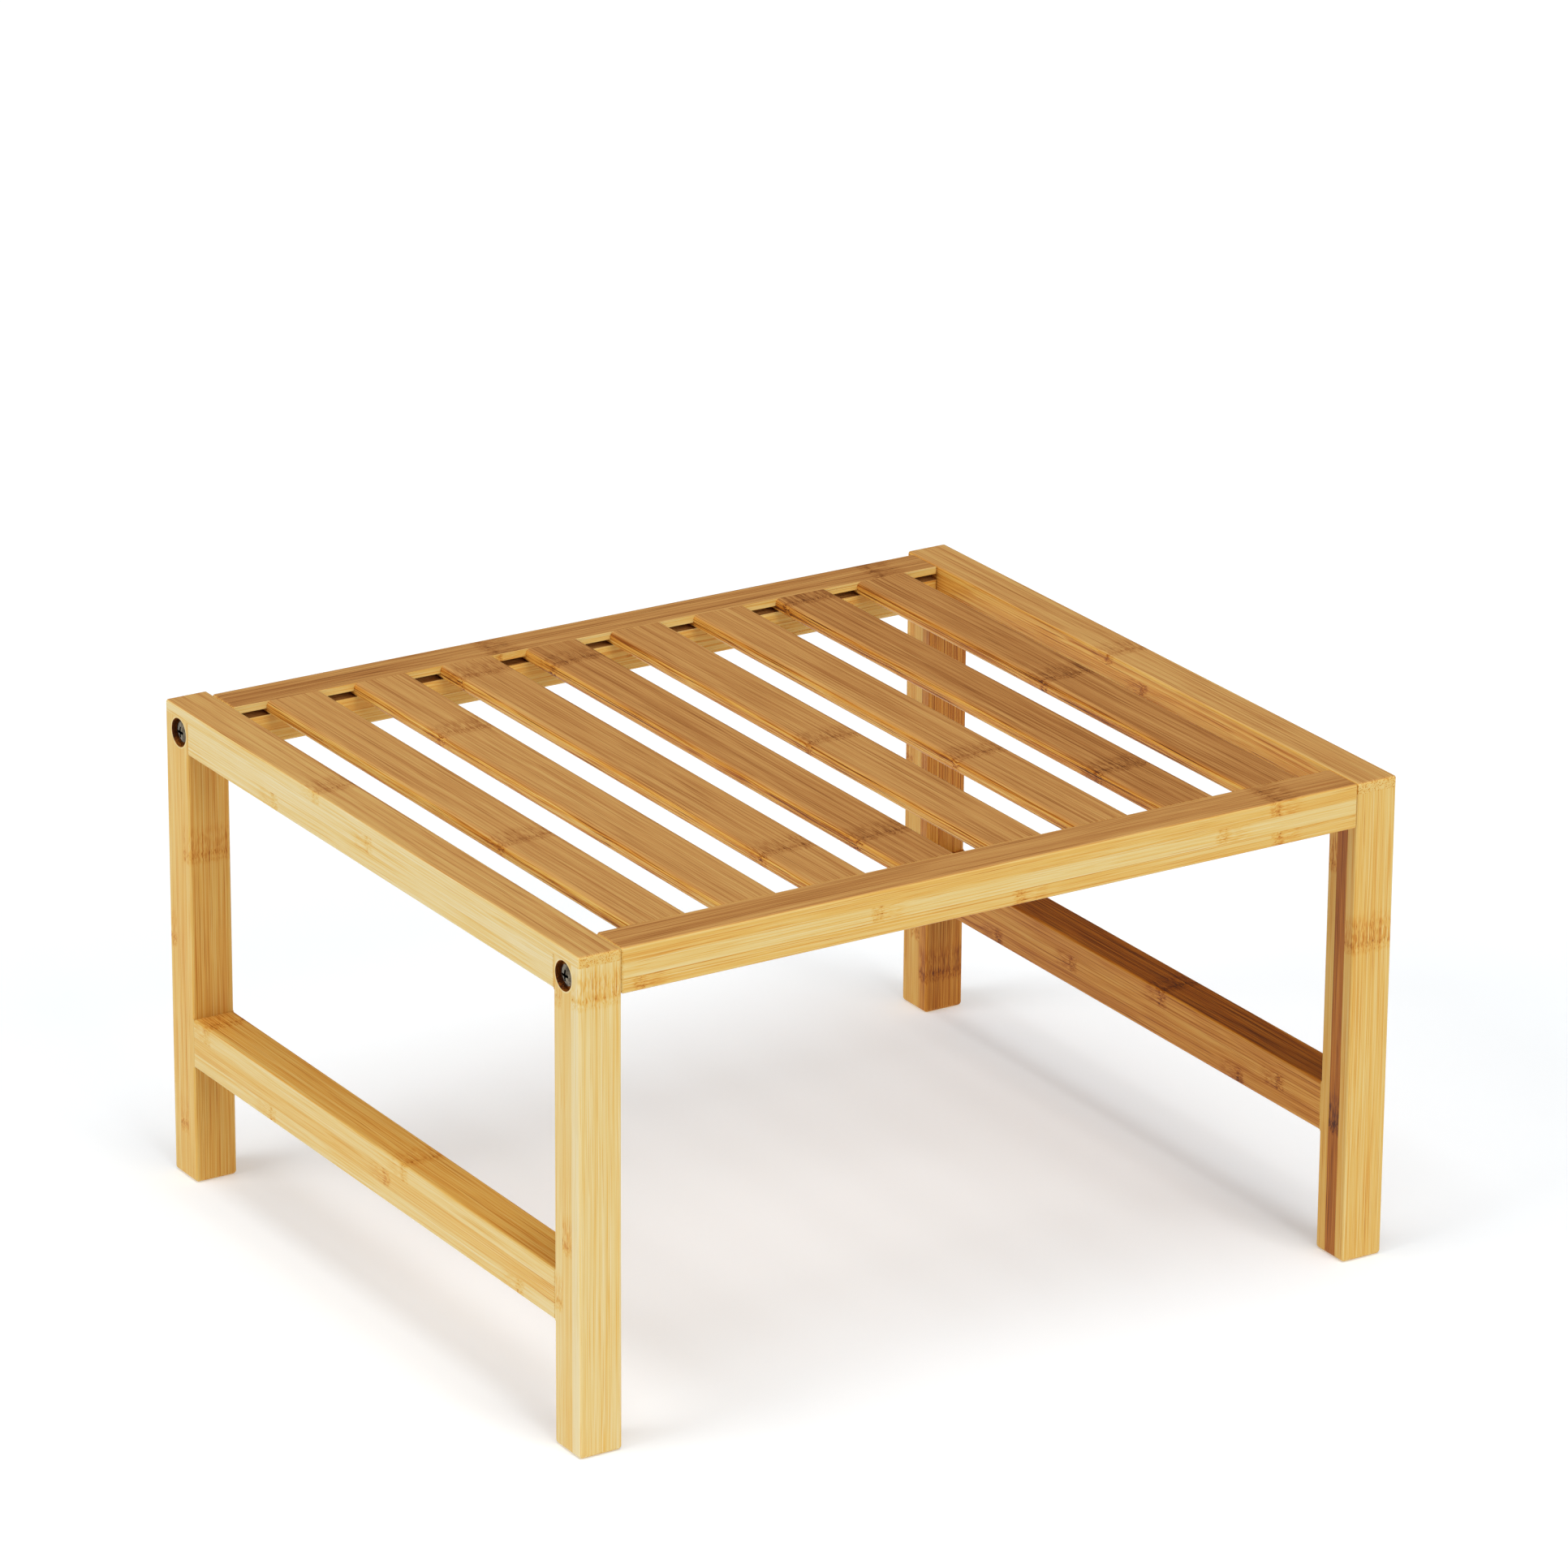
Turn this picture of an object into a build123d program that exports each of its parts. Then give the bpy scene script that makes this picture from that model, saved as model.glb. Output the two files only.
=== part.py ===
from build123d import *
import os

# Stackable slatted bamboo bench.
#
# Two glued side frames carry a front rail and a back rail, which are screwed between them. Eight slats
# run from front to back, each with a tongue at either end that sits in a groove along the rail.
#
# +X runs to the right along the front rail, +Y from front to back and +Z up. The origin is on the floor
# under the middle of the bench. All sizes are in millimetres.

# Overall size
bench_width = 400.0
bench_depth = 350.0
bench_height = 220.0

# Square bamboo stock that the legs and the top rails are cut from
stock = 20.0

# Top layer of a side rail, which runs on past the shoulder and laps over the leg tops
lap_thickness = 5.0

# Lower rail of each side frame
stretcher_height = 22.6
stretcher_top = 77.5

# The back rail stands in from the back of the side frames; the front rail is flush with their front
back_rail_setback = 5.0

# Seat slats, evenly spaced between the side frames
slat_count = 8
slat_width = 27.0
slat_thickness = 6.0

# Groove along the inner face of the front and back rails, under a thin lip
lip_thickness = 3.4
groove_height = 3.0
groove_depth = 8.0
tongue_length = 7.0

# Rounding of the edges that a hand meets
foot_rounding = 2.0
edge_rounding = 1.2
slat_top_rounding = 2.5
slat_bottom_rounding = 2.0

# Slight easing of the edges that meet at a joint
joint_easing = 0.3

# Screw axis, measured in from the outer end of a side frame and down from the seat
screw_inset = 12.0
screw_drop = 11.8

# Hole that each screw passes through in its leg
counterbore_diameter = 12.8
counterbore_depth = 3.2
clearance_diameter = 5.4

# Pan-head wood screw with a cross recess
screw_length = 45.0
shank_diameter = 3.6
head_diameter = 9.2
head_height = 2.6
head_rim_height = 1.8
thread_diameter = 5.0
thread_pitch = 2.0
thread_turns = 14
screw_tip_length = 5.0
recess_span = 5.0
recess_width = 1.2
recess_depth = 1.7
recess_taper = 8.0

# Dowels between a stretcher and its legs, one above the other
stretcher_dowel_diameter = 6.0
stretcher_dowel_length = 30.0
stretcher_dowel_spacing = 11.0

# Dowel between a side rail and its leg, under the screw
side_dowel_diameter = 4.0
side_dowel_length = 22.0
side_dowel_drop = 17.2

dowel_chamfer = 0.6

# Room left past the end of a dowel or a screw in its blind hole
hole_end_gap = 0.5

# How far a cutting solid runs past the face that it opens
cut_margin = 1.0

# Positions that follow from the sizes above
frame_outer_x = -bench_width / 2
frame_inner_x = frame_outer_x + stock
frame_middle_x = frame_outer_x + stock / 2
frame_end_y = -bench_depth / 2
leg_inner_y = frame_end_y + stock
rail_bottom = bench_height - stock
lap_underside = bench_height - lap_thickness
stretcher_bottom = stretcher_top - stretcher_height
stretcher_middle = stretcher_top - stretcher_height / 2
screw_y = frame_end_y + screw_inset
screw_z = bench_height - screw_drop
head_seat_x = frame_outer_x + counterbore_depth
seat_front_y = -bench_depth / 2 + stock
seat_back_y = bench_depth / 2 - back_rail_setback - stock
groove_top = bench_height - lip_thickness
inner_span = bench_width - 2 * stock
slat_gap = (inner_span - slat_count * slat_width) / (slat_count + 1)


def block(x_range, y_range, z_range):
    """Solid box between two limits on each axis."""
    size = [high - low for low, high in (x_range, y_range, z_range)]
    middle = [(high + low) / 2 for low, high in (x_range, y_range, z_range)]
    return Pos(*middle) * Box(*size)


def rod_along_x(diameter, start_x, end_x, y, z):
    """Solid cylinder along X between two positions."""
    middle_x = (start_x + end_x) / 2
    return Pos(middle_x, y, z) * Rot(0, 90, 0) * Cylinder(diameter / 2, abs(end_x - start_x))


def rod_across_joint(diameter, length, z):
    """Solid cylinder along Y, half in the front left leg and half in the rail behind it."""
    return Pos(frame_middle_x, leg_inner_y, z) * Rot(90, 0, 0) * Cylinder(diameter / 2, length)


def mirrored_left_right(part):
    """Copy of a left-hand piece for the right-hand side."""
    return mirror(part, about=Plane.YZ)


def mirrored_front_back(part):
    """Copy of a front piece for the back."""
    return mirror(part, about=Plane.XZ)


def stretcher_dowel_heights():
    """Heights of the two dowels in each stretcher joint."""
    half_spacing = stretcher_dowel_spacing / 2
    return [stretcher_middle - half_spacing, stretcher_middle + half_spacing]


def dowel_holes():
    """Blind holes for the dowels of the front left leg, running from the leg into the two rails."""
    side_hole_length = side_dowel_length + 2 * hole_end_gap
    holes = [rod_across_joint(side_dowel_diameter, side_hole_length, bench_height - side_dowel_drop)]
    for z in stretcher_dowel_heights():
        hole_length = stretcher_dowel_length + 2 * hole_end_gap
        holes.append(rod_across_joint(stretcher_dowel_diameter, hole_length, z))
    return holes


def all_dowel_holes_left():
    """Dowel holes of both joints of the left side frame."""
    front = dowel_holes()
    return front + [mirrored_front_back(hole) for hole in front]


def make_leg():
    """Front left leg, up to the underside of the side rail's lap."""
    x_range = (frame_outer_x, frame_inner_x)
    leg = block(x_range, (frame_end_y, leg_inner_y), (0, lap_underside))
    leg = fillet(leg.faces().sort_by(Axis.Z)[0].edges(), foot_rounding)
    leg = fillet(leg.edges().filter_by(Axis.Z), edge_rounding)

    # Beside a rail or a stretcher the edges are only eased, so that the joint closes
    for z_range in ((rail_bottom, lap_underside), (stretcher_bottom, stretcher_top)):
        joint_block = block(x_range, (leg_inner_y - stock / 2, leg_inner_y), z_range)
        eased = joint_block.faces().sort_by(Axis.Y)[-1].edges().filter_by(Axis.Z)
        leg += chamfer(eased, joint_easing)

    outside_x = frame_outer_x - cut_margin
    leg -= rod_along_x(counterbore_diameter, outside_x, head_seat_x, screw_y, screw_z)
    leg -= rod_along_x(clearance_diameter, outside_x, frame_inner_x + cut_margin, screw_y, screw_z)
    for hole in dowel_holes():
        leg -= hole
    return leg


def make_side_rail():
    """Left side rail, with a lap at each end that covers the top of the leg."""
    x_range = (frame_outer_x, frame_inner_x)
    rail = block(x_range, (frame_end_y, -frame_end_y), (rail_bottom, bench_height))
    rail = fillet(rail.edges().filter_by(Axis.Z) + rail.faces().sort_by(Axis.Z)[-1].edges(), edge_rounding)

    # Rebate over each leg
    over_width = (frame_outer_x - cut_margin, frame_inner_x + cut_margin)
    below_lap = (rail_bottom - cut_margin, lap_underside)
    rebate = block(over_width, (frame_end_y - cut_margin, leg_inner_y), below_lap)
    rail -= rebate
    rail -= mirrored_front_back(rebate)

    lower_edges = rail.faces().sort_by(Axis.Z)[0].edges().filter_by(Axis.Y)
    rail = fillet(lower_edges, edge_rounding)
    shoulders = rail.faces().filter_by(Axis.Y).filter_by_position(Axis.Y, leg_inner_y, -leg_inner_y)
    rail = chamfer(shoulders.edges().filter_by(Axis.Z), joint_easing)
    for hole in all_dowel_holes_left():
        rail -= hole
    return rail


def make_stretcher():
    """Left stretcher, between the two legs."""
    stretcher = block(
        (frame_outer_x, frame_inner_x),
        (leg_inner_y, -leg_inner_y),
        (stretcher_bottom, stretcher_top),
    )
    stretcher = fillet(stretcher.edges().filter_by(Axis.Y), edge_rounding)
    stretcher = chamfer(stretcher.faces().filter_by(Axis.Y).edges(), joint_easing)
    for hole in all_dowel_holes_left():
        stretcher -= hole
    return stretcher


def make_seat_rail():
    """Front rail before its screw holes, with the groove that the slats sit in."""
    rail = block((frame_inner_x, -frame_inner_x), (frame_end_y, seat_front_y), (rail_bottom, bench_height))
    slat_side_edge = rail.faces().sort_by(Axis.Y)[-1].edges().sort_by(Axis.Z)[-1:]
    rail = fillet(rail.edges() - slat_side_edge, edge_rounding)

    # The top edge that the slats meet is only eased
    slat_side_edge = rail.faces().sort_by(Axis.Y)[-1].edges().sort_by(Axis.Z)[-1]
    rail = fillet(slat_side_edge, joint_easing)
    return rail - block(
        (frame_inner_x - cut_margin, -frame_inner_x + cut_margin),
        (seat_front_y - groove_depth, seat_front_y + cut_margin),
        (groove_top - groove_height, groove_top),
    )


def drilled(rail, y):
    """A seat rail with a pilot hole for a screw in each end."""
    deepest_x = head_seat_x + screw_length + hole_end_gap
    pilot = rod_along_x(thread_diameter, frame_inner_x - cut_margin, deepest_x, y, screw_z)
    return rail - pilot - mirrored_left_right(pilot)


def make_front_rail():
    """Front rail, flush with the front of the side frames."""
    return drilled(make_seat_rail(), screw_y)


def make_back_rail():
    """Back rail: the same rail turned round and set in, drilled in line with the back legs."""
    turned = mirrored_front_back(make_seat_rail())
    return drilled(Pos(0, -back_rail_setback, 0) * turned, -screw_y)


def make_slat(number):
    """One slat, counted from the left, with a tongue at each end that enters the rail's groove."""
    left_x = frame_inner_x + slat_gap + (number - 1) * (slat_width + slat_gap)
    x_range = (left_x, left_x + slat_width)
    front_tip_y = seat_front_y - tongue_length
    back_tip_y = seat_back_y + tongue_length
    slat = block(x_range, (front_tip_y, back_tip_y), (bench_height - slat_thickness, bench_height))
    long_edges = slat.edges().filter_by(Axis.Y)
    slat = fillet(long_edges.group_by(Axis.Z)[-1], slat_top_rounding)
    long_edges = slat.faces().sort_by(Axis.Z)[0].edges().filter_by(Axis.Y)
    slat = fillet(long_edges, slat_bottom_rounding)

    # Rebate above each tongue, down to the underside of the rail's lip
    over_width = (left_x - cut_margin, left_x + slat_width + cut_margin)
    above_tongue = (groove_top, bench_height + cut_margin)
    slat -= block(over_width, (front_tip_y - cut_margin, seat_front_y), above_tongue)
    slat -= block(over_width, (seat_back_y, back_tip_y + cut_margin), above_tongue)
    return slat


def make_dowel(diameter, length, z):
    """Chamfered dowel across the joint between the front left leg and a rail."""
    dowel = rod_across_joint(diameter, length, z)
    return chamfer(dowel.edges().filter_by(GeomType.CIRCLE), dowel_chamfer)


def make_screw():
    """Screw of the front left leg, with its head seated at the bottom of the counterbore."""
    # Half section: the first value runs along the screw from the top of its head, the second is the radius
    head_radius = head_diameter / 2
    shank_radius = shank_diameter / 2
    rim_start = head_height - head_rim_height
    thread_end = head_height + screw_length - screw_tip_length
    thread_start = thread_end - thread_turns * thread_pitch
    head_crown = TangentArc((0, 0), (rim_start, head_radius), tangent=(0, 1))
    points = [
        (rim_start, head_radius),
        (head_height, head_radius),
        (head_height, shank_radius),
        (thread_start, shank_radius),
    ]
    for turn in range(thread_turns):
        ridge_start = thread_start + turn * thread_pitch
        points.append((ridge_start + thread_pitch / 2, thread_diameter / 2))
        points.append((ridge_start + thread_pitch, shank_radius))
    points.append((head_height + screw_length, 0))
    points.append((0, 0))
    section = make_face(Curve() + [head_crown, Polyline(*points)])
    screw = revolve(section, Axis.X)

    cross = Rectangle(recess_span, recess_width) + Rectangle(recess_width, recess_span)
    screw -= extrude(Plane.YZ * cross, recess_depth, taper=recess_taper)
    return Pos(head_seat_x - head_height, screw_y, screw_z) * screw


def four_corners(part):
    """A piece of the front left corner repeated at all four corners."""
    left = [part, mirrored_front_back(part)]
    return left + [mirrored_left_right(piece) for piece in left]


def group(pieces):
    """Separate solids that share one node."""
    return Compound([piece.solid() for piece in pieces])


leg = make_leg()
side_rail = make_side_rail()
stretcher = make_stretcher()
screw = make_screw()
side_dowel = make_dowel(side_dowel_diameter, side_dowel_length, bench_height - side_dowel_drop)
stretcher_dowels = []
for dowel_z in stretcher_dowel_heights():
    stretcher_dowel = make_dowel(stretcher_dowel_diameter, stretcher_dowel_length, dowel_z)
    stretcher_dowels += four_corners(stretcher_dowel)

nodes = {
    "leg_front_left": leg,
    "leg_back_left": mirrored_front_back(leg),
    "leg_front_right": mirrored_left_right(leg),
    "leg_back_right": mirrored_left_right(mirrored_front_back(leg)),
    "side_rail_left": side_rail,
    "side_rail_right": mirrored_left_right(side_rail),
    "stretcher_left": stretcher,
    "stretcher_right": mirrored_left_right(stretcher),
    "front_rail": make_front_rail(),
    "back_rail": make_back_rail(),
    "side_rail_dowels": group(four_corners(side_dowel)),
    "stretcher_dowels": group(stretcher_dowels),
    "assembly_screws": group(four_corners(screw)),
}
for slat_number in range(1, slat_count + 1):
    nodes[f"slat_{slat_number}"] = make_slat(slat_number)

os.makedirs("parts", exist_ok=True)
for name, shape in nodes.items():
    export_step(shape, f"parts/{name}.step")
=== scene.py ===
from math import cos, radians, sin
from typing import NamedTuple

import bpy
from mathutils import Matrix, Vector


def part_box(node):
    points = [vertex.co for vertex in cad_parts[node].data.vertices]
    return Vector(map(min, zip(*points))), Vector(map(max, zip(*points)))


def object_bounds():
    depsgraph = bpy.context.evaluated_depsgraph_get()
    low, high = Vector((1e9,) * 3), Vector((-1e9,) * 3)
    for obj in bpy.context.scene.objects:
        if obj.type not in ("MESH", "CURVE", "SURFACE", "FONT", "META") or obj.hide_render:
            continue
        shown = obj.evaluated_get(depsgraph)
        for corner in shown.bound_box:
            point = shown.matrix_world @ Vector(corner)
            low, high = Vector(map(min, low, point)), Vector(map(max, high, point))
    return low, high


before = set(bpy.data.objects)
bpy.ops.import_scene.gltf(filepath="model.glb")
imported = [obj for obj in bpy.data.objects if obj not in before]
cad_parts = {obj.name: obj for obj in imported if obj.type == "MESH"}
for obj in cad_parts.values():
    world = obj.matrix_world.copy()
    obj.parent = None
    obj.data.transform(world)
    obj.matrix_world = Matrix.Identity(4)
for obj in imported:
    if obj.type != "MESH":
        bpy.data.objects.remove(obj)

# Stackable bench of laminated bamboo. The solids come from the frame; this script gives them their
# materials, and adds the floor, the light and the camera.
#
# Lengths in the bamboo are in millimetres, so that a fibre or a lamination can be read against the real
# thing. Everything else is in metres.

cad_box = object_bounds()

MILLIMETRES = 1000.0


class Streak(NamedTuple):
    """One kind of streak along the grain, made from noise.

    A streak fades in as the noise goes from clear to full. tone, roughness and groove are how much it
    darkens the wood, dulls it and cuts into it.
    """

    width: float
    length: float
    clear: float
    full: float
    tone: float = 0.0
    roughness: float = 0.0
    groove: float = 0.0
    detail: float = 1.0


# Broad streaks, the lines of fibre, and the short streaks that spread from a knuckle
BROAD_STREAK = Streak(width=3.0, length=110.0, clear=0.25, full=0.75, tone=0.10, detail=2.0)
FIBRE_LINES = (
    Streak(width=0.80, length=150.0, clear=0.46, full=0.58, tone=0.08),
    Streak(width=0.42, length=90.0, clear=0.48, full=0.64, tone=0.16, roughness=0.08, groove=0.5),
    Streak(width=0.25, length=34.0, clear=0.42, full=0.64, tone=0.11, roughness=0.05, groove=0.3),
    Streak(width=0.36, length=46.0, clear=0.62, full=0.72, tone=0.18, groove=0.8),
)
FEATHER_STREAK = Streak(width=0.48, length=4.5, clear=0.42, full=0.56)

# How far fibres wander across a strip, what part of that they wander in its depth, how far they swerve at a
# knuckle, and how often
WANDER = 1.4
WANDER_IN_DEPTH = 0.5
WANDERS_PER_MM = 0.012
SWERVE = 2.0
SWERVES_PER_MM_ALONG = 0.22
SWERVES_PER_MM_ACROSS = 0.35

# Bundles of fibre, which show as dots on the end grain and as lines along a strip. Each fades in from its
# edge to its core, which are in spacings from its centre. The shares are of all the bundles.
BUNDLE_SPACING = 0.66
BUNDLE_LENGTH = 260.0
BUNDLE_EDGE = 0.56
BUNDLE_CORE = 0.22
FAINTEST_BUNDLE = 0.45
FAINTEST_SHARE = 0.10
STRONGEST_SHARE = 0.20
BUNDLE_TONE = 0.06
BUNDLE_END_TONE = 0.40
BUNDLE_GROOVE = 1.0

# The band across a strip where the culm had a joint: its half length and that of its full-strength core, how
# ragged it is, and how far from its middle the streaks beyond it come in and die away
KNUCKLE_HALF_LENGTH = 4.0
KNUCKLE_CORE = 1.4
KNUCKLE_RAGGEDNESS = 5.0
RAGS_PER_MM = 0.33
FEATHER_START = (-0.5, 1.5)
FEATHER_END = (17.0, 9.0)
BAND_TONE = 0.04
BAND_ROUGHNESS = 0.06
BAND_STRENGTH_ON_FACES = 0.7

# Short crossed fibres in a knuckle, and the dark dots among them. A dot's edge and core are in widths of the
# scribble from its centre, and the share is of the places where a dot could be.
SCRIBBLE_WIDTH = 1 / 1.35
SCRIBBLE_LENGTH = 2.0
SCRIBBLE_NOISE = (0.44, 0.60)
SCRIBBLE_TONE = 0.15
SCRIBBLE_GROOVE = 0.6
DOT_EDGE = 0.30
DOT_CORE = 0.14
DOT_SHARE = 0.28
DOT_TONE = 0.26
DOT_TONE_BEYOND = 0.10

# Glue lines between strips: where each fades out and is full, from its middle, and how its stain varies.
# The shift keeps that variation apart from the fibres' wandering.
GLUE_EDGE = 0.22
GLUE_CORE = 0.06
GLUE_STRETCHES_PER_MM = 0.02
GLUE_SHIFT = 3.0
GLUE_NOISE = (0.35, 0.65)
GLUE_TONE = 0.16
GLUE_GROOVE = 0.6

# Rounded edges, which sanding leaves smoother. They are paler partly from sanding and partly as a painted
# highlight.
SANDED_EDGE = 1.6
SANDED_CORE = 0.32
SANDED_AND_HIGHLIGHT_TONE = -0.05
SANDED_ROUGHNESS = -0.05

# Counterbore that each screw sits in: painted shade on its wall, and the pale rim round its mouth
HOLE_RADIUS = 6.4
SCREW_HEAD_RADIUS = 4.6
WALL_EDGE = 0.12
WALL_CORE = 0.02
HOLE_WALL_PAINTED_SHADE = 0.55
RIM_OUTSIDE_HOLE = 0.4
RIM_EDGE = 0.45
RIM_CORE = 0.1
RIM_TONE = -0.22

# The surface as a whole. The end grain's tone is what it has between its bundles, and the shift is added to
# every tone.
END_GRAIN_TONE = 0.44
END_GRAIN_ROUGHNESS = 0.18
TONE_SHIFT = -0.16
ROUGHNESS = 0.38
SPECULAR_LEVEL = 0.22
BUMP_STRENGTH = 0.35
BUMP_DEPTH = 0.00012

# How squarely a surface has to face along an axis to start and to finish counting as that side
FACING = (0.55, 0.85)

# How far apart in the noise the strips lie, so that no strip repeats another's pattern
STRIP_SHIFT = 31.7

# Bamboo from its palest to its darkest. The strips' edges are golden, and their wide faces more of a tan,
# less saturated partly as the wood's own colour and partly as painted sheen.
EDGE_SHADES = (
    (0.00, "E3D0A0"),
    (0.20, "E0C480"),
    (0.38, "DDB159"),
    (0.55, "D3953D"),
    (0.72, "B66C1A"),
    (0.88, "8E490A"),
    (1.00, "4E260E"),
)
TAN_AND_SHEEN_SHADES = (
    (0.00, "E3D0A0"),
    (0.20, "DFC488"),
    (0.38, "D7B06A"),
    (0.55, "C99554"),
    (0.72, "AC7239"),
    (0.88, "86501E"),
    (1.00, "4E260E"),
)

# The dowels and the screws. The screws' zinc is darker than new zinc, as painted shade on heads that sit in
# their holes.
BEECH_SHADES = ((0.3, "D9B98C"), (0.7, "B98F5E"))
ZINC_SHADES_WITH_PAINTED_SHADE = ((0.3, "3E352A"), (0.5, "5E5445"), (0.7, "8A7F6B"))


def linear_colour(hex_code):
    """Scene-linear RGBA of a six-digit sRGB colour."""
    channels = [int(hex_code[start:start + 2], 16) / 255 for start in (0, 2, 4)]
    linear = [c / 12.92 if c <= 0.04045 else ((c + 0.055) / 1.055) ** 2.4 for c in channels]
    return (*linear, 1.0)


class Graph:
    """Builds one material's nodes. Most methods return the socket that holds their result."""

    def __init__(self, tree):
        self.tree = tree

    def node(self, kind, inputs=None, **settings):
        """Adds a node and fills its inputs, each with a value or with another node's socket."""
        node = self.tree.nodes.new(kind)
        for name, value in settings.items():
            setattr(node, name, value)
        for key, value in (inputs or {}).items():
            if isinstance(value, bpy.types.NodeSocket):
                self.tree.links.new(value, node.inputs[key])
            else:
                node.inputs[key].default_value = value
        return node

    def math(self, operation, *values):
        """Sum, product or the like of values, each a number or another node's socket."""
        return self.node("ShaderNodeMath", dict(enumerate(values)), operation=operation).outputs[0]

    def add(self, *values):
        total = values[0]
        for value in values[1:]:
            total = self.math("ADD", total, value)
        return total

    def times(self, *values):
        total = values[0]
        for value in values[1:]:
            total = self.math("MULTIPLY", total, value)
        return total

    def minus(self, first, second):
        return self.math("SUBTRACT", first, second)

    def absolute(self, value):
        return self.math("ABSOLUTE", value)

    def fade(self, value, from_value, to_value, low=0.0, high=1.0):
        """Runs smoothly from low to high as a value goes from one number to another."""
        inputs = {"Value": value, "From Min": from_value, "From Max": to_value, "To Min": low, "To Max": high}
        return self.node("ShaderNodeMapRange", inputs, interpolation_type="SMOOTHSTEP").outputs["Result"]

    def point(self, x, y, z):
        return self.node("ShaderNodeCombineXYZ", {0: x, 1: y, 2: z}).outputs[0]

    def noise(self, point, detail=2.0, roughness=0.5):
        """Smooth noise with features about one unit apart, from 0 to 1."""
        inputs = {"Vector": point, "Scale": 1.0, "Detail": detail, "Roughness": roughness}
        return self.node("ShaderNodeTexNoise", inputs).outputs["Fac"]

    def object_noise(self, scale, detail, roughness):
        """Noise fixed to the object. scale is how many features it has in a metre along X, Y and Z."""
        coordinates = self.node("ShaderNodeTexCoord")
        stretched = self.node("ShaderNodeMapping", {"Vector": coordinates.outputs["Object"], "Scale": scale})
        return self.noise(stretched.outputs["Vector"], detail, roughness)

    def cells(self, point):
        """Random cells one unit apart: the distance to the nearest centre, and a number for each cell."""
        cell = self.node("ShaderNodeTexVoronoi", {"Vector": point, "Scale": 1.0})
        number = self.node("ShaderNodeSeparateColor", {"Color": cell.outputs["Color"]})
        return cell.outputs["Distance"], number.outputs[0]

    def mix(self, amount, first, second):
        """Colour that goes from the first to the second as the amount goes from 0 to 1."""
        inputs = {"Factor": amount, "A": first, "B": second}
        return self.node("ShaderNodeMix", inputs, data_type="RGBA").outputs["Result"]

    def shades(self, value, stops):
        """Colour ramp through a list of (place, sRGB colour)."""
        ramp = self.node("ShaderNodeValToRGB", {"Fac": value})
        elements = ramp.color_ramp.elements
        while len(elements) < len(stops):
            elements.new(0.5)
        for element, (place, hex_code) in zip(elements, stops):
            element.position = place
            element.color = linear_colour(hex_code)
        return ramp.outputs["Color"]

    def bump(self, height, strength, depth):
        """Normal of a surface that is raised by a height."""
        inputs = {"Height": height, "Strength": strength, "Distance": depth}
        return self.node("ShaderNodeBump", inputs).outputs["Normal"]

    def surface(self, inputs):
        """Finishes the material: a Principled shader with these inputs, joined to the output."""
        shader = self.node("ShaderNodeBsdfPrincipled", inputs)
        self.node("ShaderNodeOutputMaterial", {"Surface": shader.outputs["BSDF"]})


def new_material(name):
    """A material with no nodes yet, and the graph to build them with."""
    material = bpy.data.materials.new(name)
    material.use_nodes = True
    material.node_tree.nodes.clear()
    return material, Graph(material.node_tree)


class Bar:
    """Where a point lies in a bar of laminated bamboo, as sockets.

    along runs with the grain from the bar's low end, across runs over the strips' width, and depth runs
    through the stack of strips. shift sets each strip's patterns apart. wide and end_grain are 1 where the
    surface is a strip's wide face or the end of its fibres, and 0 elsewhere.
    """

    def __init__(self, graph, node, grain, stack, seams, seed):
        low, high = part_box(node)
        grain_axis = "XYZ".index(grain)
        stack_axis = "XYZ".index(stack)
        across_axis = 3 - grain_axis - stack_axis
        coordinates = graph.node("ShaderNodeTexCoord")
        place = graph.node("ShaderNodeSeparateXYZ", {0: coordinates.outputs["Object"]})
        facing = graph.node("ShaderNodeSeparateXYZ", {0: coordinates.outputs["Normal"]})

        self.graph = graph
        self.position = [graph.times(place.outputs[axis], MILLIMETRES) for axis in range(3)]
        inside = [graph.minus(self.position[axis], low[axis] * MILLIMETRES) for axis in range(3)]
        self.along = inside[grain_axis]
        self.across = inside[across_axis]
        self.depth = inside[stack_axis]
        self.width = (high[across_axis] - low[across_axis]) * MILLIMETRES
        self.thickness = (high[stack_axis] - low[stack_axis]) * MILLIMETRES
        self.steps = [graph.math("GREATER_THAN", self.depth, seam) for seam in seams]
        self.shift = graph.times(graph.add(seed, *self.steps), STRIP_SHIFT)
        self.wide = graph.fade(graph.absolute(facing.outputs[stack_axis]), *FACING)
        self.end_grain = graph.fade(graph.absolute(facing.outputs[grain_axis]), *FACING)

    def by_strip(self, values):
        """The value of the strip that the point is in, from a list with a value for each strip."""
        total = values[0]
        for step, lower, upper in zip(self.steps, values, values[1:]):
            change = self.graph.minus(upper, lower)
            total = self.graph.add(total, self.graph.times(step, change))
        return total


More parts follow.
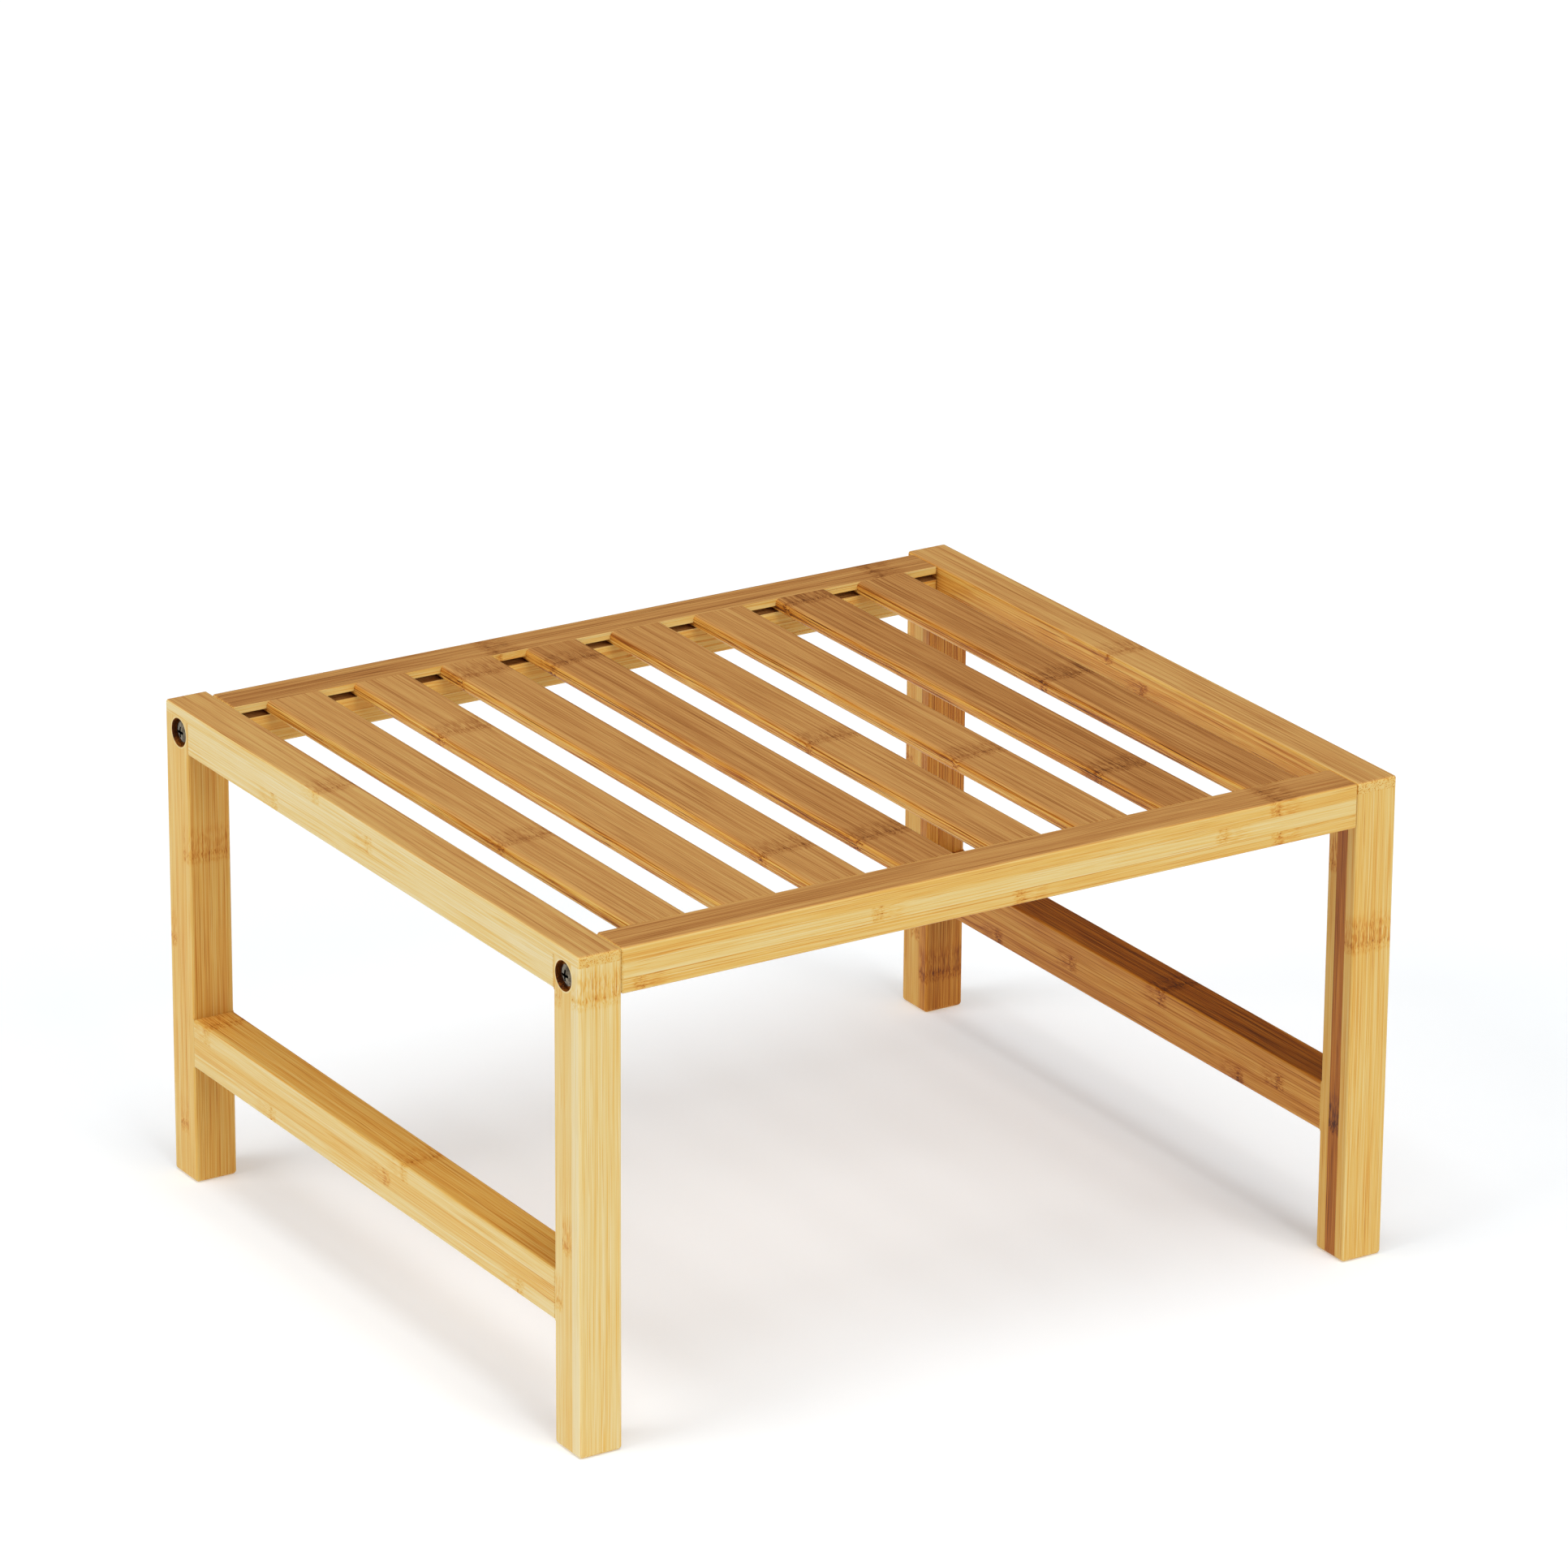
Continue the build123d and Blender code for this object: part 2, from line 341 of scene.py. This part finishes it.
class Fibres:
    """How the fibres run in a bar: they swerve round a knuckle's band, and wander a little elsewhere."""

    def __init__(self, graph, bar, band):
        swerve_point = graph.point(
            graph.times(bar.along, SWERVES_PER_MM_ALONG),
            graph.times(bar.across, SWERVES_PER_MM_ACROSS),
            bar.shift,
        )
        swerve = graph.times(graph.minus(graph.noise(swerve_point), 0.5), band, SWERVE)
        wander_point = graph.point(graph.times(bar.along, WANDERS_PER_MM), bar.shift, 0.0)
        wander = graph.times(graph.minus(graph.noise(wander_point), 0.5), WANDER)

        self.graph = graph
        self.shift = bar.shift
        self.along = bar.along
        self.across = graph.add(bar.across, swerve, wander)
        self.depth = graph.add(bar.depth, graph.times(wander, WANDER_IN_DEPTH))

    def point(self, width, length):
        """Point for a pattern with features of a given width and length, which follows the fibres."""
        return self.graph.point(
            self.graph.add(self.graph.times(self.along, 1 / length), self.shift),
            self.graph.times(self.across, 1 / width),
            self.graph.times(self.depth, 1 / width),
        )

    def streaks(self, kind):
        """Streaks of one kind, from 0 between them to 1 in the middle."""
        noise = self.graph.noise(self.point(kind.width, kind.length), kind.detail)
        return self.graph.fade(noise, kind.clear, kind.full)

    def bundles(self):
        """Bundles from 0 between them to 1, or to less in the fainter ones."""
        distance, number = self.graph.cells(self.point(BUNDLE_SPACING, BUNDLE_LENGTH))
        strength = self.graph.fade(number, FAINTEST_SHARE, 1 - STRONGEST_SHARE, FAINTEST_BUNDLE, 1.0)
        return self.graph.times(self.graph.fade(distance, BUNDLE_EDGE, BUNDLE_CORE), strength)

    def scribble(self):
        """The short crossed fibres of a knuckle, and the dark dots among them."""
        point = self.point(SCRIBBLE_WIDTH, SCRIBBLE_LENGTH)
        crossed = self.graph.fade(self.graph.noise(point, detail=4.0, roughness=0.7), *SCRIBBLE_NOISE)
        distance, number = self.graph.cells(point)
        has_dot = self.graph.math("GREATER_THAN", number, 1 - DOT_SHARE)
        return crossed, self.graph.times(self.graph.fade(distance, DOT_EDGE, DOT_CORE), has_dot)


def nearest_knuckle(graph, along, places):
    """Signed distance along the grain from the nearest of a strip's knuckles."""
    nearest = graph.minus(along, places[0])
    for place in places[1:]:
        other = graph.minus(along, place)
        is_nearer = graph.math("LESS_THAN", graph.absolute(other), graph.absolute(nearest))
        nearest = graph.add(nearest, graph.times(is_nearer, graph.minus(other, nearest)))
    return nearest


def knuckle_band(graph, bar, knuckles):
    """The ragged band of each knuckle, and the stretch on its far side where it streaks the wood."""
    from_knuckle = bar.by_strip([nearest_knuckle(graph, bar.along, places) for places in knuckles])
    ragged_point = graph.point(
        graph.times(bar.across, RAGS_PER_MM),
        graph.times(bar.depth, RAGS_PER_MM),
        bar.shift,
    )
    raggedness = graph.minus(graph.noise(ragged_point, detail=3.0, roughness=0.65), 0.5)
    from_band = graph.add(from_knuckle, graph.times(raggedness, KNUCKLE_RAGGEDNESS))
    band = graph.fade(graph.absolute(from_band), KNUCKLE_HALF_LENGTH, KNUCKLE_CORE)
    beyond = graph.times(graph.fade(from_band, *FEATHER_START), graph.fade(from_band, *FEATHER_END))
    return band, beyond


def glue_lines(graph, bar, seams):
    """The lines of glue, and how strongly the glue stains the wood, which varies along them."""
    stretch_point = graph.point(graph.times(bar.along, GLUE_STRETCHES_PER_MM), bar.shift, GLUE_SHIFT)
    stain = graph.fade(graph.noise(stretch_point), *GLUE_NOISE)
    glue = 0.0
    for seam in seams:
        from_seam = graph.absolute(graph.minus(bar.depth, seam))
        glue = graph.add(glue, graph.fade(from_seam, GLUE_EDGE, GLUE_CORE))
    return glue, stain


def sanded_and_highlit_edges(graph, bar):
    """1 on the long rounded edges, where both sides are near, and 0 away from them."""
    from_side = graph.math("MINIMUM", bar.across, graph.minus(bar.width, bar.across))
    from_face = graph.math("MINIMUM", bar.depth, graph.minus(bar.thickness, bar.depth))
    return graph.fade(graph.add(from_side, from_face), SANDED_EDGE, SANDED_CORE)


def screw_hole_tone(graph, bar, corner):
    """Tone that darkens the wall of a front or back leg's counterbore as painted shade, and lightens the rim
    round it.
    """
    low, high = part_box("assembly_screws")
    head_radius = SCREW_HEAD_RADIUS / MILLIMETRES
    screw_y = low[1] + head_radius if corner == "front" else high[1] - head_radius
    screw_z = (low[2] + high[2]) / 2
    from_y = graph.minus(bar.position[1], screw_y * MILLIMETRES)
    from_z = graph.minus(bar.position[2], screw_z * MILLIMETRES)
    from_axis = graph.math("SQRT", graph.add(graph.times(from_y, from_y), graph.times(from_z, from_z)))
    wall = graph.fade(from_axis, HOLE_RADIUS + WALL_EDGE, HOLE_RADIUS + WALL_CORE)
    from_rim = graph.absolute(graph.minus(from_axis, HOLE_RADIUS + RIM_OUTSIDE_HOLE))
    rim = graph.fade(from_rim, RIM_EDGE, RIM_CORE)
    return graph.add(graph.times(wall, HOLE_WALL_PAINTED_SHADE), graph.times(rim, RIM_TONE))


def bamboo(node, grain, stack, seams, tones, knuckles, face_tone, seed, face_shades=EDGE_SHADES,
           lines=1.0, face_lines=1.0, feather=0.12, hole=None):
    """Laminated bamboo for one piece.

    grain and stack are the axes that the fibres run along and the strips are glued up along. seams are the
    heights of the glue lines above the piece's low side. tones and knuckles have an entry for each strip, and
    the tones are partly the wood's own and partly painted shade. The face tone darkens the wide faces, partly
    as the wood's own tone, since they are cut nearer to the culm's wall than the edges are, and on the tops
    partly as painted shade. lines and face_lines are how strong the fibres are on the strips' edges and on
    their wide faces, and feather is how strongly a knuckle streaks the wood beyond it. hole says whether the
    screw through the piece is the front or the back one, if it has one. seed sets its patterns apart from the
    other pieces'.
    """
    material, graph = new_material(f"bamboo_{node}")
    bar = Bar(graph, node, grain, stack, seams, seed)
    band, beyond = knuckle_band(graph, bar, knuckles)
    fibres = Fibres(graph, bar, band)
    broad = graph.minus(fibres.streaks(BROAD_STREAK), 0.5)
    fibre_lines = [(kind, fibres.streaks(kind)) for kind in FIBRE_LINES]
    feathering = fibres.streaks(FEATHER_STREAK)
    bundle = fibres.bundles()
    scribble, dots = fibres.scribble()
    glue, stain = glue_lines(graph, bar, seams)
    sanded_and_highlit = sanded_and_highlit_edges(graph, bar)

    on_side = graph.minus(1.0, bar.end_grain)
    line_strength = graph.times(on_side, graph.fade(bar.wide, 0.0, 1.0, lines, face_lines))
    band_strength = graph.times(band, graph.fade(bar.wide, 0.0, 1.0, 1.0, BAND_STRENGTH_ON_FACES))
    tone = graph.add(
        graph.times(bar.by_strip(tones), on_side),
        graph.times(bar.end_grain, END_GRAIN_TONE),
        graph.times(bar.wide, face_tone),
        graph.times(broad, BROAD_STREAK.tone),
        *[graph.times(streaks, line_strength, kind.tone) for kind, streaks in fibre_lines],
        graph.times(bundle, graph.fade(bar.end_grain, 0.0, 1.0, BUNDLE_TONE, BUNDLE_END_TONE)),
        graph.times(band_strength, graph.add(graph.times(scribble, SCRIBBLE_TONE), BAND_TONE)),
        graph.times(band_strength, dots, DOT_TONE),
        graph.times(beyond, dots, DOT_TONE_BEYOND),
        graph.times(beyond, feathering, feather),
        graph.times(glue, stain, GLUE_TONE),
        graph.times(sanded_and_highlit, SANDED_AND_HIGHLIGHT_TONE),
        TONE_SHIFT,
    )
    if hole:
        tone = graph.add(tone, screw_hole_tone(graph, bar, hole))
    colour = graph.mix(bar.wide, graph.shades(tone, EDGE_SHADES), graph.shades(tone, face_shades))
    roughness = graph.add(
        ROUGHNESS,
        *[graph.times(streaks, kind.roughness) for kind, streaks in fibre_lines],
        graph.times(bar.end_grain, END_GRAIN_ROUGHNESS),
        graph.times(band, BAND_ROUGHNESS),
        graph.times(sanded_and_highlit, SANDED_ROUGHNESS),
    )
    grooves = graph.add(
        *[graph.times(streaks, kind.groove) for kind, streaks in fibre_lines],
        graph.times(bundle, bar.end_grain, BUNDLE_GROOVE),
        graph.times(band, scribble, SCRIBBLE_GROOVE),
        graph.times(glue, GLUE_GROOVE),
    )
    graph.surface({
        "Base Color": colour,
        "Roughness": roughness,
        "Specular IOR Level": SPECULAR_LEVEL,
        "Normal": graph.bump(graph.times(grooves, -1.0), BUMP_STRENGTH, BUMP_DEPTH),
    })
    return material


def dowel_wood():
    """Raw beech dowel. The grain is stretched along Y."""
    material, graph = new_material("beech_dowel")
    grain = graph.object_noise(scale=(2400, 60, 2400), detail=4.0, roughness=0.6)
    graph.surface({
        "Base Color": graph.shades(grain, BEECH_SHADES),
        "Roughness": graph.fade(grain, 0.3, 0.7, low=0.6, high=0.75),
        "Normal": graph.bump(grain, strength=0.3, depth=0.0001),
    })
    return material


def screw_steel():
    """Zinc-plated steel, uneven in colour, with fine scratches, and darker than new zinc as painted shade on
    heads that sit in their holes.
    """
    material, graph = new_material("zinc_plated_steel")
    plating = graph.object_noise(scale=(500, 500, 500), detail=3.0, roughness=0.6)
    scratches = graph.object_noise(scale=(3000, 900, 3000), detail=4.0, roughness=0.7)
    graph.surface({
        "Base Color": graph.shades(plating, ZINC_SHADES_WITH_PAINTED_SHADE),
        "Metallic": 1.0,
        "Roughness": graph.fade(scratches, 0.3, 0.7, low=0.10, high=0.22),
        "Normal": graph.bump(scratches, strength=0.15, depth=0.00005),
    })
    return material


def dress(node, material):
    """Gives a node of the frame its material."""
    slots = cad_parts[node].data.materials
    slots.clear()
    slots.append(material)


def dress_in_bamboo(node, **cut):
    """Gives a node a bamboo of its own, cut as said."""
    dress(node, bamboo(node, **cut))


# How each piece was cut: tones run from 0, pale, to 1, dark, and knuckles are places along the grain from
# the piece's low end. Strips are listed from the piece's low side. The tones and face tones are partly the
# wood's own and partly painted shade, which darkens the tops and the pieces on the right and under the seat.
LEG = dict(grain="Z", stack="Y", seams=(6.2, 13.4), lines=0.8)
RAIL = dict(grain="X", stack="Z", seams=(6.5, 13.2), lines=0.85, face_shades=TAN_AND_SHEEN_SHADES)
SIDE_RAIL = dict(grain="Y", stack="Z", seams=(7.6, 15.0), face_lines=0.85, face_shades=TAN_AND_SHEEN_SHADES)
STRETCHER = dict(grain="Y", stack="Z", seams=(7.4, 14.8), lines=0.8)
SLAT = dict(
    grain="Y", stack="Z", seams=(), face_tone=0.18, lines=1.8, face_lines=0.75, face_shades=TAN_AND_SHEEN_SHADES,
)

dress_in_bamboo(
    "leg_front_left", **LEG, seed=1, tones=(0.08, 0.32, 0.27), face_tone=0.16,
    knuckles=((199,), (90,), (63, 196)), feather=0.22, hole="front",
)
# Its strips are darker as painted shade on its inner face, and its front face is kept pale against that.
dress_in_bamboo(
    "leg_front_right", **LEG, seed=6, tones=(0.44, 0.82, 0.46), face_tone=-0.06,
    knuckles=((145,), (60,), (178,)), feather=0.20, hole="front",
)
# Darker than the front left leg, partly as painted shade under the seat.
dress_in_bamboo(
    "leg_back_left", **LEG, seed=11, tones=(0.40, 0.42, 0.40), face_tone=0.08,
    knuckles=((152,), (24,), (110,)), hole="back",
)
# Dark as painted shade, behind and under the seat.
dress_in_bamboo(
    "leg_back_right", **LEG, seed=16, tones=(0.70, 0.50, 0.54), face_tone=0.0,
    knuckles=((18,), (37, 190), (120,)), hole="back",
)
dress_in_bamboo(
    "front_rail", **RAIL, seed=21, tones=(0.40, 0.28, 0.42), face_tone=0.26,
    knuckles=((8, 190, 319), (121, 291), (318,)), face_lines=0.75,
)
dress_in_bamboo(
    "back_rail", **RAIL, seed=26, tones=(0.42, 0.50, 0.40), face_tone=0.28,
    knuckles=((90, 270), (30, 200), (130, 330)),
)
dress_in_bamboo(
    "side_rail_left", **SIDE_RAIL, seed=31, tones=(0.21, 0.17, 0.20), face_tone=0.37,
    knuckles=((252,), (171,), (216,)), lines=0.9,
)
# Darker as painted shade on its inner face.
dress_in_bamboo(
    "side_rail_right", **SIDE_RAIL, seed=36, tones=(0.56, 0.60, 0.56), face_tone=0.04,
    knuckles=((60, 280), (160,), (187,)),
)
dress_in_bamboo(
    "stretcher_left", **STRETCHER, seed=41, tones=(0.26, 0.40, 0.27), face_tone=0.20,
    knuckles=((28, 239), (139,), (124, 298)),
)
# Dark as painted shade under the seat.
dress_in_bamboo(
    "stretcher_right", **STRETCHER, seed=46, tones=(0.70, 0.63, 0.67), face_tone=0.18,
    knuckles=((60, 250), (30, 190), (120,)),
)

# Slats from left to right. Each is one strip, and the second knuckle is past the end of most of them.
# The slats get darker towards the right, partly as painted shade.
SLAT_TONES_AND_SHADE = (0.45, 0.45, 0.48, 0.53, 0.49, 0.49, 0.57, 0.56)
SLAT_KNUCKLES = (111, 236, 46, 40, 147, 99, 54, 161)
SLAT_KNUCKLE_SPACING = 248.0
for number, (tone, place) in enumerate(zip(SLAT_TONES_AND_SHADE, SLAT_KNUCKLES), start=1):
    dress_in_bamboo(
        f"slat_{number}", **SLAT, seed=50 + 3 * number, tones=(tone,),
        knuckles=((place, place + SLAT_KNUCKLE_SPACING),),
    )

beech = dowel_wood()
dress("side_rail_dowels", beech)
dress("stretcher_dowels", beech)
dress("assembly_screws", screw_steel())

# The floor is slightly blue, against the warm light that the bamboo throws on it. It glows a little, so that
# it is white in the light and its shadows are pale.
FLOOR_REACH = 30.0
FLOOR_COLOUR = (0.775, 0.81, 0.835, 1.0)
FLOOR_GLOW = 0.27
FLOOR_ROUGHNESS = 0.9
FLOOR_SPECULAR_LEVEL = 0.1

WHITE = (1.0, 1.0, 1.0, 1.0)
SURROUNDINGS_STRENGTH = 0.10
LAMP_SOFTNESS = 40

# Where the camera stands, in degrees round the bench and in metres from the point it looks at. That point is
# a little to the right of the bench's middle and above it in the picture. Sensor and lens are in millimetres.
CAMERA_AZIMUTH = -32.05
CAMERA_ELEVATION = 20.65
CAMERA_ROLL = 0.37
CAMERA_DISTANCE = 3.507
AIM_RIGHT = 0.0049
AIM_UP = 0.0827
SENSOR_WIDTH = 36.0
LENS = 187.0
FARTHEST_VIEW = 100.0


def towards(azimuth, elevation):
    """Direction from the bench. Azimuth 0 is in front of it, and positive is to its right."""
    turn, lift = radians(azimuth), radians(elevation)
    return Vector((sin(turn) * cos(lift), -cos(turn) * cos(lift), sin(lift)))


def make_floor():
    """Plain white floor, wide enough to reach past every view."""
    mesh = bpy.data.meshes.new("studio_floor")
    corners = [
        (-FLOOR_REACH, -FLOOR_REACH, 0),
        (FLOOR_REACH, -FLOOR_REACH, 0),
        (FLOOR_REACH, FLOOR_REACH, 0),
        (-FLOOR_REACH, FLOOR_REACH, 0),
    ]
    mesh.from_pydata(corners, [], [(0, 1, 2, 3)])
    floor = bpy.data.objects.new("studio_floor", mesh)
    bpy.context.scene.collection.objects.link(floor)
    material, graph = new_material("studio_floor")
    graph.surface({
        "Base Color": FLOOR_COLOUR,
        "Roughness": FLOOR_ROUGHNESS,
        "Specular IOR Level": FLOOR_SPECULAR_LEVEL,
        "Emission Color": WHITE,
        "Emission Strength": FLOOR_GLOW,
    })
    mesh.materials.append(material)


def add_sun(name, azimuth, elevation, strength):
    """Soft distant lamp."""
    lamp = bpy.data.lights.new(name, "SUN")
    lamp.energy = strength
    lamp.angle = radians(LAMP_SOFTNESS)
    sun = bpy.data.objects.new(name, lamp)
    sun.rotation_euler = towards(azimuth, elevation).to_track_quat("Z", "Y").to_euler()
    bpy.context.scene.collection.objects.link(sun)


def light_studio():
    """Dim even surroundings with a soft lamp on the left, one in front and one overhead."""
    world = bpy.data.worlds.new("studio")
    world.use_nodes = True
    background = world.node_tree.nodes["Background"]
    background.inputs["Color"].default_value = WHITE
    background.inputs["Strength"].default_value = SURROUNDINGS_STRENGTH
    bpy.context.scene.world = world
    add_sun("left_softbox", azimuth=-98, elevation=29, strength=1.34)
    add_sun("front_softbox", azimuth=8, elevation=29, strength=1.36)
    add_sun("overhead_softbox", azimuth=-30, elevation=82, strength=1.65)
    view = bpy.context.scene.view_settings
    view.view_transform = "Standard"
    view.look = "None"


def place_camera():
    """Long lens from the front left, a little above, with room over the bench for another on top of it."""
    back = towards(CAMERA_AZIMUTH, CAMERA_ELEVATION)
    level_right = Vector((cos(radians(CAMERA_AZIMUTH)), sin(radians(CAMERA_AZIMUTH)), 0))
    level_up = back.cross(level_right)
    roll = radians(CAMERA_ROLL)
    right = cos(roll) * level_right + sin(roll) * level_up
    up = cos(roll) * level_up - sin(roll) * level_right
    middle = (Vector(cad_box[0]) + Vector(cad_box[1])) / 2
    place = middle + AIM_RIGHT * right + AIM_UP * up + CAMERA_DISTANCE * back
    camera_data = bpy.data.cameras.new("camera")
    camera_data.sensor_width = SENSOR_WIDTH
    camera_data.lens = LENS
    camera_data.clip_end = FARTHEST_VIEW
    camera = bpy.data.objects.new("camera", camera_data)
    camera.matrix_world = Matrix.Translation(place) @ Matrix((right, up, back)).transposed().to_4x4()
    bpy.context.scene.collection.objects.link(camera)
    bpy.context.scene.camera = camera


make_floor()
light_studio()
place_camera()
